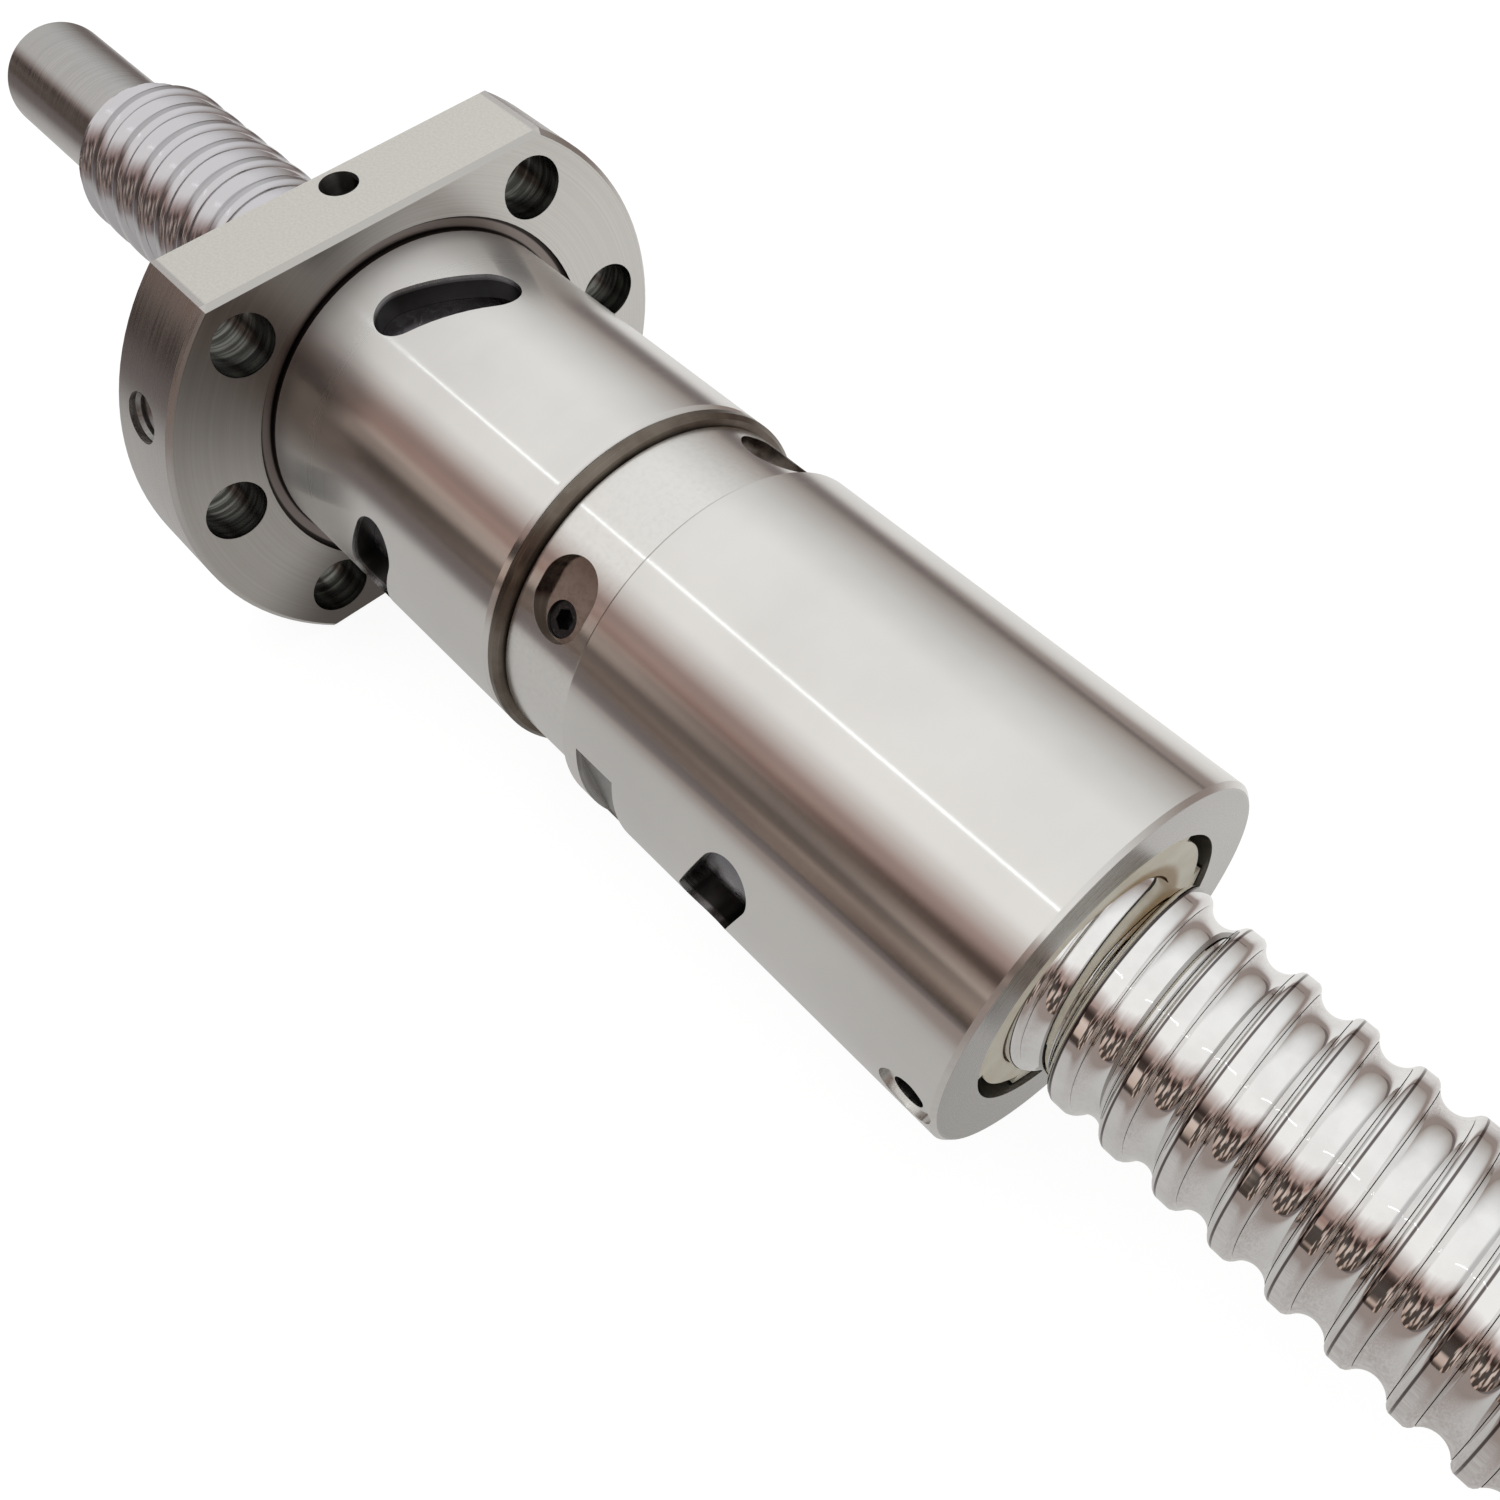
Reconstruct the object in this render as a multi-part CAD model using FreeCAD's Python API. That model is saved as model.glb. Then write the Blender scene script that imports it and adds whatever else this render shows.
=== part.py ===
import FreeCAD, Part
import math
import os

# Preloaded double nut on a 20 mm ball screw with 5 mm lead.
# Two ball nuts stand end to end. The first has the mounting flange and a long spigot. A shim ring and
# a spacer collar sit on the spigot and set the preload, and the second nut slides over its end, where a
# key stops it turning. In each nut, return inserts lift the balls over one land of the screw and
# send them back one turn, so that each circuit of balls is closed.
#
# Row frame: +X along the screw towards the second nut, +Z square to the flange's upper flat, and the
# origin at the centre of the flange's mounting face. Angles are about +X and start at +Y.
# Every piece is drawn upright, with its axis on Z and angle 0 on X, and laid down when it is written.

Vec = FreeCAD.Vector

# Screw
SCREW_R = 9.85
LEAD = 5.0
LAND_X = 3.0                    # place of one land's middle at angle 0
LAND_EDGE_R = 0.35
LAND_EDGE_PROUD = 0.04
THREAD_BACK_X = -60.0
THREAD_FRONT_X = 134.0
THREAD_CHAMFER = 1.2
JOURNAL_R = 7.0
JOURNAL_LENGTH = 25.0
JOURNAL_CHAMFER = 0.8
BLOCK_LEADS = 8                 # the thread is joined from blocks of whole leads
JOIN_TOLERANCE = 0.001

# Balls and grooves
BALL_D = 3.175
BALLS_PER_CIRCUIT = 20
BALL_PLAY = 0.1                 # groove radius beyond the ball's
BALL_CENTRE_RISE = 0.45         # ball centres above the lands
BORE_GAP = 0.9                  # nut bore beyond the lands
RETURN_GAP = 0.12               # lifted balls above the lands

# Ball returns
CIRCUITS_PER_NUT = 3
CIRCUIT_STEP_DEG = 90.0
FIRST_NUT_DEG = 90.0            # angle of a nut's first return
SECOND_NUT_DEG = 180.0
FIRST_NUT_SETBACK = 6.0         # least distance of a nut's first return from its back
SECOND_NUT_SETBACK = 17.0
CROSSING_DEG = 56.0
LIFT_SHARE = 0.36               # share of the crossing in which a ball climbs
WINDOW_LENGTH = 14.0
WINDOW_WIDTH = 5.55
WINDOW_TILT_DEG = 24.0
INSERT_SINK = 2.6               # insert's top below the body
INSERT_BORE_GAP = 0.15          # insert's foot clear of the bore line
INSERT_PLAY = 0.03

# Flange
FLANGE_R = 29.0
FLANGE_T = 10.0
FLAT_TO_FLAT = 44.0
FLANGE_CHAMFER = 0.5
BOLT_CIRCLE_R = 23.5
BOLT_HOLE_R = 3.3
BOLT_STEP_DEG = 45.0
RELIEF_WIDTH = 1.5
RELIEF_DEPTH = 0.6
PORT_R = 2.5
PORT_DEPTH = 10.0
PORT_DEG = 157.5
DUCT_R = 0.9
DUCT_SETBACK = 3.5              # duct from the mounting face

# Nut bodies and what lies between them
BODY_R = 18.0
BODY_CHAMFER = 0.4
FLANGED_BODY_LENGTH = 35.2
PLAIN_BODY_LENGTH = 44.9
LEAD_OUT_TURNS = 1.5            # groove beyond the last return
RUNOUT_MARGIN = 0.4
SPIGOT_R = 13.3
SPIGOT_ENTRY = 8.0              # spigot inside the second nut
SPIGOT_END_GAP = 0.3
SEAT_PLAY = 0.05
SHIM_T = 1.5
SHIM_R = 18.0
SHIM_EDGE = 0.4
SHIM_PLAY = 0.05                # each side of the shim
COLLAR_LENGTH = 9.4
COLLAR_R = 17.0
COLLAR_CHAMFER = 0.25

# Collar screws in their pockets
COLLAR_SCREWS = 4
POCKET_FIRST_DEG = 135.0
POCKET_FLOOR_R = 15.9
POCKET_WIDTH = 6.2
POCKET_LENGTH = 7.8
COLLAR_SCREW_OFFSET = 1.9       # from the pocket's middle, along the pocket
COLLAR_SCREW_R = 1.65
SOCKET_SHARE = 0.62             # hex socket across corners, share of a screw's width
SOCKET_DEPTH = 1.3
SCREW_SINK = 0.35
SCREW_PLAY = 0.04

# Key
KEY_DEG = 188.0
KEY_WIDTH = 4.8
KEY_LENGTH = 11.3
KEY_SETBACK = 2.3               # from the second nut's back face
KEY_TOP_R = 16.9
KEY_SEAT_R = 12.4
KEY_PLAY = 0.03

# Wipers
WIPER_SEAT_R = 13.25
WIPER_SEAT_DEPTH = 5.0
WIPER_T = 4.3
WIPER_SINK = 0.5
WIPER_RIM_PLAY = 0.15
WIPER_THREAD_PLAY = 0.15
WIPER_NOTCHES_DEG = (20.0, 212.0)
WIPER_NOTCH_SPAN_DEG = 44.0
WIPER_NOTCH_DEPTH = 0.9
REAR_WIPER_SCREW_R = 1.95
FRONT_WIPER_SCREW_R = 1.5
WIPER_SCREW_LENGTH = 3.0
WIPER_SCREW_INSET = 3.0         # from the nut's end face
FRONT_WIPER_SCREW_DEG = 183.0
SPOT_R = 2.7
SPOT_DEPTH = 0.5

# Worked out from the above
PITCH_R = SCREW_R + BALL_CENTRE_RISE
BALL_R = BALL_D / 2
GROOVE_R = BALL_R + BALL_PLAY
GROOVE_X = LAND_X - LEAD / 2
BORE_R = SCREW_R + BORE_GAP
LIFTED_R = SCREW_R + BALL_R + RETURN_GAP
GROOVE_TOP_R = PITCH_R + GROOVE_R
RUNOUT_R = GROOVE_TOP_R + 0.15
RUNOUT_WIDTH = 2 * (GROOVE_R + RUNOUT_MARGIN)
SHIM_X = FLANGED_BODY_LENGTH
COLLAR_X = SHIM_X + SHIM_T
PLAIN_X = COLLAR_X + COLLAR_LENGTH
PLAIN_END_X = PLAIN_X + PLAIN_BODY_LENGTH
SPIGOT_END_X = PLAIN_X + SPIGOT_ENTRY
COLLAR_MID_X = COLLAR_X + COLLAR_LENGTH / 2
KEY_X = PLAIN_X + KEY_SETBACK + KEY_WIDTH / 2
FAR = 4 * FLANGE_R
SEAM_DEG = 300.0                # where turned surfaces close, clear of the ends of the grooves


def aimed(shape, x, deg):
    """Places a shape, drawn pointing outwards along X, at a distance along the axis and an angle."""
    shape = shape.copy()
    shape.rotate(Vec(0, 0, 0), Vec(0, 0, 1), deg)
    shape.translate(Vec(0, 0, x))
    return shape


def turned(*profile):
    """Solid of revolution from (x, radius) corners."""
    corners = [Vec(r, 0, x) for x, r in profile]
    face = Part.Face(Part.makePolygon(corners + corners[:1]))
    return aimed(face.revolve(Vec(0, 0, 0), Vec(0, 0, 1), 360), 0, SEAM_DEG)


def rod(radius, x0, x1):
    """Cylinder on the screw's axis."""
    return aimed(Part.makeCylinder(radius, x1 - x0), x0, SEAM_DEG)


def drilled(radius, r0, r1, x, deg, offset=0.0):
    """Round radial cut, from one distance from the axis to another."""
    return aimed(Part.makeCylinder(radius, r1 - r0, Vec(r0, offset, 0), Vec(1, 0, 0)), x, deg)


def milled(length, width, r0, r1, x, deg, tilt_deg=0.0):
    """Radial cut with round ends. Its length lies round the body, tilted against the thread."""
    straight = length - width
    cut = Part.makeBox(r1 - r0, straight, width, Vec(r0, -straight / 2, -width / 2))
    for side in (-1, 1):
        end = Part.makeCylinder(width / 2, r1 - r0, Vec(r0, side * straight / 2, 0), Vec(1, 0, 0))
        cut = cut.fuse(end)
    cut = cut.removeSplitter()
    cut.rotate(Vec(0, 0, 0), Vec(1, 0, 0), -tilt_deg)
    return aimed(cut, x, deg)


def helix_deg(x):
    """Angle at which the middle of the groove passes a place along the axis."""
    return (x - GROOVE_X) / LEAD * 360


def swept_thread(profile, x0, x1):
    """Sweeps a profile, drawn round the groove's middle in the XZ plane, along the thread."""
    path = Part.Wire(Part.makeHelix(LEAD, x1 - x0, PITCH_R).Edges)
    tool = path.makePipeShell([profile], True, True)
    return aimed(tool, x0, helix_deg(x0))


def round_profile(radius):
    """Circle round the ball centres, in two arcs, for the nut's groove and the wiper's ridge."""
    ends = [Vec(PITCH_R, 0, side * radius) for side in (-1, 1)]
    halves = [Part.Arc(ends[0], Vec(PITCH_R + side * radius, 0, 0), ends[1]).toShape() for side in (-1, 1)]
    return Part.Wire(halves)


def screw_groove_profile():
    """Ball groove whose sides roll over into the lands."""
    centre_r = SCREW_R - LAND_EDGE_R + LAND_EDGE_PROUD
    drop = PITCH_R - centre_r
    reach = GROOVE_R + LAND_EDGE_R
    half = math.sqrt(reach ** 2 - drop ** 2)
    edge_centre = Vec(centre_r, 0, half)
    to_touch = Vec(drop, 0, -half) * (LAND_EDGE_R / reach)
    to_top = Vec(LAND_EDGE_R, 0, 0)
    to_knee = (to_touch + to_top).normalize() * LAND_EDGE_R
    touch, knee, top = [edge_centre + step for step in (to_touch, to_knee, to_top)]
    roof = Vec(SCREW_R + BALL_R, 0, half)
    bottom = Vec(PITCH_R - GROOVE_R, 0, 0)

    def mirrored(point):
        return Vec(point.x, 0, -point.z)

    return Part.Wire([
        Part.Arc(mirrored(touch), bottom, touch).toShape(),
        Part.Arc(touch, knee, top).toShape(),
        Part.makeLine(top, roof),
        Part.makeLine(roof, mirrored(roof)),
        Part.makeLine(mirrored(roof), mirrored(top)),
        Part.Arc(mirrored(top), mirrored(knee), mirrored(touch)).toShape(),
    ])


def threaded_bar(x0, x1):
    """Bar with the screw's thread, a little longer than asked, joined from equal blocks."""
    length = BLOCK_LEADS * LEAD
    groove = swept_thread(screw_groove_profile(), -LEAD / 2, length + LEAD / 2)
    block = Part.makeCylinder(SCREW_R, length).cut(groove)
    start = LEAD * (math.ceil(x0 / LEAD) - 1)
    blocks = [aimed(block, start + i * length, 0) for i in range(math.ceil((x1 - start) / length))]
    return blocks[0].multiFuse(blocks[1:], JOIN_TOLERANCE)


def screw_shaft():
    over = THREAD_CHAMFER + 1
    trimmed = turned(
        (THREAD_BACK_X, 0), (THREAD_BACK_X, SCREW_R - THREAD_CHAMFER), (THREAD_BACK_X + over, SCREW_R + 1),
        (THREAD_FRONT_X - over, SCREW_R + 1), (THREAD_FRONT_X, SCREW_R - THREAD_CHAMFER),
        (THREAD_FRONT_X, 0))
    thread = threaded_bar(THREAD_BACK_X, THREAD_FRONT_X).common(trimmed)
    end_x = THREAD_BACK_X - JOURNAL_LENGTH
    journal = turned(
        (end_x, 0), (end_x, JOURNAL_R - JOURNAL_CHAMFER), (end_x + JOURNAL_CHAMFER, JOURNAL_R),
        (THREAD_BACK_X + THREAD_CHAMFER, JOURNAL_R), (THREAD_BACK_X + THREAD_CHAMFER, 0))
    return thread.fuse(journal)


def crossing(u):
    """Ball path across one land, as angle, place along the axis and radius. u runs from 0 to 1."""
    deg = (u - 0.5) * CROSSING_DEG
    lead_part = LEAD * CROSSING_DEG / 360
    drop = LEAD / 2 - lead_part / 2
    start_weight = 2 * u ** 3 - 3 * u ** 2 + 1
    slope_weight = 2 * u ** 3 - 3 * u ** 2 + u
    x = drop * (2 * start_weight - 1) + lead_part * slope_weight
    climb = min(u, 1 - u, LIFT_SHARE) / LIFT_SHARE
    radius = PITCH_R + (LIFTED_R - PITCH_R) * climb ** 2 * (3 - 2 * climb)
    return deg, x, radius


def path_point(deg, x, radius):
    angle = math.radians(deg)
    return Vec(radius * math.cos(angle), radius * math.sin(angle), x)


def return_channel():
    """Swept tube through which the balls cross, drawn about angle 0 and place 0."""
    steps = 12
    lead_in_deg = 16.0
    points = [path_point(*crossing(i / steps)) for i in range(steps + 1)]
    before, after = [], []
    for i in range(4, 0, -1):
        extra = lead_in_deg * i / 4
        deg, x, radius = crossing(0)
        before.append(path_point(deg - extra, x - LEAD * extra / 360, radius))
        deg, x, radius = crossing(1)
        after.insert(0, path_point(deg + extra, x + LEAD * extra / 360, radius))
    curve = Part.BSplineCurve()
    curve.interpolate(before + points + after)
    start = curve.value(curve.FirstParameter)
    along = curve.tangent(curve.FirstParameter)[0]
    section = Part.Wire(Part.makeCircle(GROOVE_R, start, along))
    return Part.Wire(curve.toShape()).makePipeShell([section], True, True)


def return_insert():
    plug = milled(WINDOW_LENGTH - 2 * INSERT_PLAY, WINDOW_WIDTH - 2 * INSERT_PLAY,
                  SCREW_R / 2, BODY_R, 0, 0, WINDOW_TILT_DEG)
    sleeve = rod(BODY_R - INSERT_SINK, -WINDOW_LENGTH, WINDOW_LENGTH)
    sleeve = sleeve.cut(rod(BORE_R + INSERT_BORE_GAP, -WINDOW_LENGTH, WINDOW_LENGTH))
    return plug.common(sleeve).cut(return_channel())


def circuit_path(t):
    """Ball path round one circuit, t from 0 to 1, about the insert at angle 0 and place 0."""
    crossing_share = CROSSING_DEG / 360
    if t < crossing_share:
        return path_point(*crossing(t / crossing_share))
    deg, x, radius = crossing(1)
    turn = (t - crossing_share) * 360
    return path_point(deg + turn, x + LEAD * turn / 360, radius)


def ball_circuit():
    steps = 1440
    track = [circuit_path(i / steps) for i in range(steps + 1)]
    travelled = [0.0]
    for a, b in zip(track, track[1:]):
        travelled.append(travelled[-1] + a.distanceToPoint(b))
    balls = []
    i = 0
    for k in range(BALLS_PER_CIRCUIT):
        goal = (k + 0.5) * travelled[-1] / BALLS_PER_CIRCUIT
        while travelled[i + 1] < goal:
            i += 1
        balls.append(Part.makeSphere(BALL_R, track[i]))
    return Part.makeCompound(balls)


def circuits(from_x, first_deg):
    """Place and angle of each return of a nut. Each lies on a land of the screw, one land apart."""
    first_land = math.ceil((from_x - LAND_X) / LEAD - first_deg / 360)
    places = []
    for i in range(CIRCUITS_PER_NUT):
        deg = first_deg + i * CIRCUIT_STEP_DEG
        places.append((LAND_X + (first_land + i + deg / 360) * LEAD, deg))
    return places


FIRST_NUT_RETURNS = circuits(FIRST_NUT_SETBACK, FIRST_NUT_DEG)
SECOND_NUT_RETURNS = circuits(PLAIN_X + SECOND_NUT_SETBACK, SECOND_NUT_DEG)
RUNOUT_X = FIRST_NUT_RETURNS[-1][0] + LEAD_OUT_TURNS * LEAD


def with_windows(body, returns):
    for x, deg in returns:
        body = body.cut(milled(WINDOW_LENGTH, WINDOW_WIDTH, SCREW_R / 2, FAR, x, deg, WINDOW_TILT_DEG))
    return body


def flange_blank():
    disc = turned(
        (-FLANGE_T, 0), (-FLANGE_T, FLANGE_R - FLANGE_CHAMFER), (-FLANGE_T + FLANGE_CHAMFER, FLANGE_R),
        (-FLANGE_CHAMFER, FLANGE_R), (0, FLANGE_R - FLANGE_CHAMFER), (0, 0))
    slab = Part.makeBox(FAR, FLAT_TO_FLAT, FLANGE_T, Vec(-FAR / 2, -FLAT_TO_FLAT / 2, -FLANGE_T))
    long_edges = [e for e in slab.Edges
                  if abs(e.Vertexes[0].X - e.Vertexes[1].X) > 1]
    slab = slab.makeChamfer(FLANGE_CHAMFER, long_edges)
    return disc.common(slab)


def bolt_holes():
    holes = []
    for side_deg in (0, 180):
        for i in (-1, 0, 1):
            hole = Part.makeCylinder(BOLT_HOLE_R, 3 * FLANGE_T, Vec(BOLT_CIRCLE_R, 0, -2 * FLANGE_T))
            holes.append(aimed(hole, 0, side_deg + i * BOLT_STEP_DEG))
    return holes


def wiper_seat(end_x, inwards):
    """Counterbore for a wiper, cut from an end face. inwards is 1 or -1 along the axis."""
    x0, x1 = sorted((end_x - inwards, end_x + inwards * WIPER_SEAT_DEPTH))
    return rod(WIPER_SEAT_R, x0, x1)


def flanged_nut():
    body = turned(
        (-FLANGE_T / 2, 0), (-FLANGE_T / 2, BODY_R), (SHIM_X - BODY_CHAMFER, BODY_R),
        (SHIM_X, BODY_R - BODY_CHAMFER), (SHIM_X, SPIGOT_R), (SPIGOT_END_X - BODY_CHAMFER, SPIGOT_R),
        (SPIGOT_END_X, SPIGOT_R - BODY_CHAMFER), (SPIGOT_END_X, 0))
    relief = turned((-RELIEF_DEPTH, BODY_R), (-RELIEF_DEPTH, BODY_R + RELIEF_WIDTH),
                    (1, BODY_R + RELIEF_WIDTH), (1, BODY_R))
    nut = flange_blank().cut(relief).fuse(body)
    nut = nut.cut(rod(BORE_R, -FLANGE_T - 1, SPIGOT_END_X + 1))
    nut = nut.cut(wiper_seat(-FLANGE_T, 1))
    nut = nut.cut(rod(RUNOUT_R, RUNOUT_X, RUNOUT_X + RUNOUT_WIDTH))
    groove = swept_thread(round_profile(GROOVE_R), -FLANGE_T + WIPER_SEAT_DEPTH / 2,
                          RUNOUT_X + RUNOUT_WIDTH / 2)
    nut = nut.cut(groove)
    for hole in bolt_holes():
        nut = nut.cut(hole)
    nut = with_windows(nut, FIRST_NUT_RETURNS)
    nut = nut.cut(drilled(PORT_R, FLANGE_R - PORT_DEPTH, FAR, -FLANGE_T / 2, PORT_DEG))
    nut = nut.cut(drilled(DUCT_R, SCREW_R, FLANGE_R - PORT_DEPTH / 2, -DUCT_SETBACK, PORT_DEG))
    nut = nut.cut(drilled(REAR_WIPER_SCREW_R, SCREW_R, FAR, -FLANGE_T + WIPER_SCREW_INSET, 90))
    return nut.cut(key_block(SPIGOT_R + 1, KEY_PLAY))


def plain_nut():
    nut = turned(
        (PLAIN_X, SPIGOT_R + SEAT_PLAY), (PLAIN_X, BODY_R - BODY_CHAMFER),
        (PLAIN_X + BODY_CHAMFER, BODY_R), (PLAIN_END_X - BODY_CHAMFER, BODY_R),
        (PLAIN_END_X, BODY_R - BODY_CHAMFER), (PLAIN_END_X, BORE_R),
        (SPIGOT_END_X + SPIGOT_END_GAP, BORE_R), (SPIGOT_END_X + SPIGOT_END_GAP, SPIGOT_R + SEAT_PLAY))
    nut = nut.cut(wiper_seat(PLAIN_END_X, -1))
    groove = swept_thread(round_profile(GROOVE_R), SPIGOT_END_X - GROOVE_R - RUNOUT_MARGIN,
                          PLAIN_END_X - WIPER_SEAT_DEPTH / 2)
    nut = nut.cut(groove)
    nut = with_windows(nut, SECOND_NUT_RETURNS)
    nut = nut.cut(key_block(FAR, KEY_PLAY))
    screw_x = PLAIN_END_X - WIPER_SCREW_INSET
    nut = nut.cut(drilled(FRONT_WIPER_SCREW_R, SCREW_R, FAR, screw_x, FRONT_WIPER_SCREW_DEG))
    return nut.cut(drilled(SPOT_R, BODY_R - SPOT_DEPTH, FAR, screw_x, FRONT_WIPER_SCREW_DEG))


def key_block(top_r, play):
    """The key's block, or with play the cut that it lies in."""
    height = top_r - KEY_SEAT_R
    width = KEY_WIDTH + 2 * play
    length = KEY_LENGTH + 2 * play
    return aimed(Part.makeBox(height, length, width, Vec(KEY_SEAT_R, -length / 2, -width / 2)),
                 KEY_X, KEY_DEG)


def preload_shim():
    x0, x1 = SHIM_X + SHIM_PLAY, COLLAR_X - SHIM_PLAY
    inner = SPIGOT_R + SEAT_PLAY
    return turned((x0, inner), (x0, SHIM_R - SHIM_EDGE), (x0 + SHIM_EDGE, SHIM_R),
                  (x1 - SHIM_EDGE, SHIM_R), (x1, SHIM_R - SHIM_EDGE), (x1, inner))


def pocket_angles():
    return [POCKET_FIRST_DEG + i * 360 / COLLAR_SCREWS for i in range(COLLAR_SCREWS)]


def spacer_collar():
    inner = SPIGOT_R + SEAT_PLAY
    collar = turned(
        (COLLAR_X, inner), (COLLAR_X, COLLAR_R - COLLAR_CHAMFER), (COLLAR_X + COLLAR_CHAMFER, COLLAR_R),
        (PLAIN_X, COLLAR_R), (PLAIN_X, inner))
    for deg in pocket_angles():
        collar = collar.cut(milled(POCKET_LENGTH, POCKET_WIDTH, POCKET_FLOOR_R, FAR, COLLAR_MID_X, deg))
        collar = collar.cut(drilled(COLLAR_SCREW_R, SCREW_R, FAR, COLLAR_MID_X, deg, COLLAR_SCREW_OFFSET))
    return collar


def set_screw(radius, foot_r, top_r, x, deg, offset=0.0):
    """Socket set screw standing on foot_r, its top at top_r."""
    body = Part.makeCylinder(radius, top_r - foot_r, Vec(foot_r, offset, 0), Vec(1, 0, 0))
    corner = radius * SOCKET_SHARE
    hexagon = [Vec(top_r - SOCKET_DEPTH, offset + corner * math.cos(math.radians(60 * i)),
                   corner * math.sin(math.radians(60 * i))) for i in range(7)]
    socket = Part.Face(Part.makePolygon(hexagon)).extrude(Vec(SOCKET_DEPTH + 1, 0, 0))
    return aimed(body.cut(socket), x, deg)


def wiper(end_x, inwards):
    x0, x1 = sorted((end_x + inwards * WIPER_SINK, end_x + inwards * (WIPER_SINK + WIPER_T)))
    rim = WIPER_SEAT_R - WIPER_RIM_PLAY
    ring = rod(rim, x0, x1)
    notch_root = rim - WIPER_NOTCH_DEPTH
    wedge = rod(FAR, x0 - 1, x1 + 1).cut(rod(notch_root, x0 - 1, x1 + 1))
    for deg in WIPER_NOTCHES_DEG:
        sector = Part.makeCylinder(rim + 1, x1 - x0 + 2, Vec(0, 0, x0 - 1), Vec(0, 0, 1),
                                   WIPER_NOTCH_SPAN_DEG)
        sector.rotate(Vec(0, 0, 0), Vec(0, 0, 1), deg - WIPER_NOTCH_SPAN_DEG / 2)
        ring = ring.cut(sector.common(wedge))
    ring = ring.cut(rod(SCREW_R + WIPER_THREAD_PLAY, x0 - 1, x1 + 1))
    ridge = swept_thread(round_profile(GROOVE_R - WIPER_THREAD_PLAY), x0 - LEAD / 2, x1 + LEAD / 2)
    ridge = ridge.common(rod(rim - WIPER_NOTCH_DEPTH / 2, x0, x1))
    return ring.fuse(ridge)


def pieces():
    """Every node's name and shape."""
    parts = {
        "flanged_nut": flanged_nut(),
        "plain_nut": plain_nut(),
        "preload_shim": preload_shim(),
        "spacer_collar": spacer_collar(),
        "locking_key": key_block(KEY_TOP_R, 0),
        "screw_shaft": screw_shaft(),
        "rear_wiper": wiper(-FLANGE_T, 1),
        "front_wiper": wiper(PLAIN_END_X, -1),
    }
    foot = WIPER_SEAT_R - WIPER_RIM_PLAY + SCREW_PLAY
    parts["rear_wiper_screw"] = set_screw(
        REAR_WIPER_SCREW_R - SCREW_PLAY, foot, foot + WIPER_SCREW_LENGTH,
        -FLANGE_T + WIPER_SCREW_INSET, 90)
    parts["front_wiper_screw"] = set_screw(
        FRONT_WIPER_SCREW_R - SCREW_PLAY, foot, foot + WIPER_SCREW_LENGTH,
        PLAIN_END_X - WIPER_SCREW_INSET, FRONT_WIPER_SCREW_DEG)
    for i, deg in enumerate(pocket_angles(), 1):
        parts[f"collar_screw_{i}"] = set_screw(
            COLLAR_SCREW_R - SCREW_PLAY, SPIGOT_R + SCREW_PLAY, POCKET_FLOOR_R - SCREW_SINK,
            COLLAR_MID_X, deg, COLLAR_SCREW_OFFSET)
    insert, balls = return_insert(), ball_circuit()
    for i, (x, deg) in enumerate(FIRST_NUT_RETURNS + SECOND_NUT_RETURNS, 1):
        parts[f"return_insert_{i}"] = aimed(insert, x, deg)
        parts[f"ball_circuit_{i}"] = aimed(balls, x, deg)
    return parts


def main():
    os.makedirs("parts", exist_ok=True)
    laid_down = FreeCAD.Placement(Vec(0, 0, 0), FreeCAD.Rotation(Vec(1, 1, 1), 120))
    for name, shape in pieces().items():
        shape.Placement = laid_down.multiply(shape.Placement)
        shape.exportStep(f"parts/{name}.step")


main()
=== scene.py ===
import math

import bmesh
import bpy
from mathutils import Matrix, Vector


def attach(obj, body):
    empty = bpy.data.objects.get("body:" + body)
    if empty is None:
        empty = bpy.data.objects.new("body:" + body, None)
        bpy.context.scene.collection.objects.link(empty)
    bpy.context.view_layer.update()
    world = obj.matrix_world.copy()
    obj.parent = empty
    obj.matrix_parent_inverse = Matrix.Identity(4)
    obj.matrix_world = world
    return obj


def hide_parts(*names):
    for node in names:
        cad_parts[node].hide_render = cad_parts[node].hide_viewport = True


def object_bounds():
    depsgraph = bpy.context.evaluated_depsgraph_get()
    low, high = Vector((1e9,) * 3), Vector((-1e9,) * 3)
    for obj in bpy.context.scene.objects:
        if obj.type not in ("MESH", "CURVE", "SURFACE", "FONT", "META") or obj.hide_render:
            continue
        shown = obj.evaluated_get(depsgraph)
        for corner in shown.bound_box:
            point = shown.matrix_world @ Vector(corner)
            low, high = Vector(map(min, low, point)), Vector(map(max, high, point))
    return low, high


# Double ball nut with its flange, on a ground and polished ball screw.
# Lengths are in millimetres until they go into a mesh. The axis is X, and angles are about X from Y.
MM = 0.001

# Screw thread. Its land edges are rounder than the solid's 0.35, as they look in the photograph.
LEAD = 5.0
SCREW_R = 9.85
LAND_X = 3.0                    # middle of one land at angle 0
PITCH_R = 10.3
GROOVE_R = 1.6875
LAND_EDGE_R = 0.8
LAND_EDGE_PROUD = 0.04
THREAD_BACK_X = -60.0
THREAD_FRONT_X = 134.0
THREAD_CHAMFER = 1.2
JOURNAL_R = 7.0
JOURNAL_END_X = -85.0
JOURNAL_CHAMFER = 0.8
JOURNAL_ROOT = 1.0              # how far the journal reaches into the thread
STEPS_PER_TURN = 72
GROOVE_STEPS = 10
EDGE_STEPS = 5
LAND_STEPS = 2
THREAD_SHARP_DEG = 40.0

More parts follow.
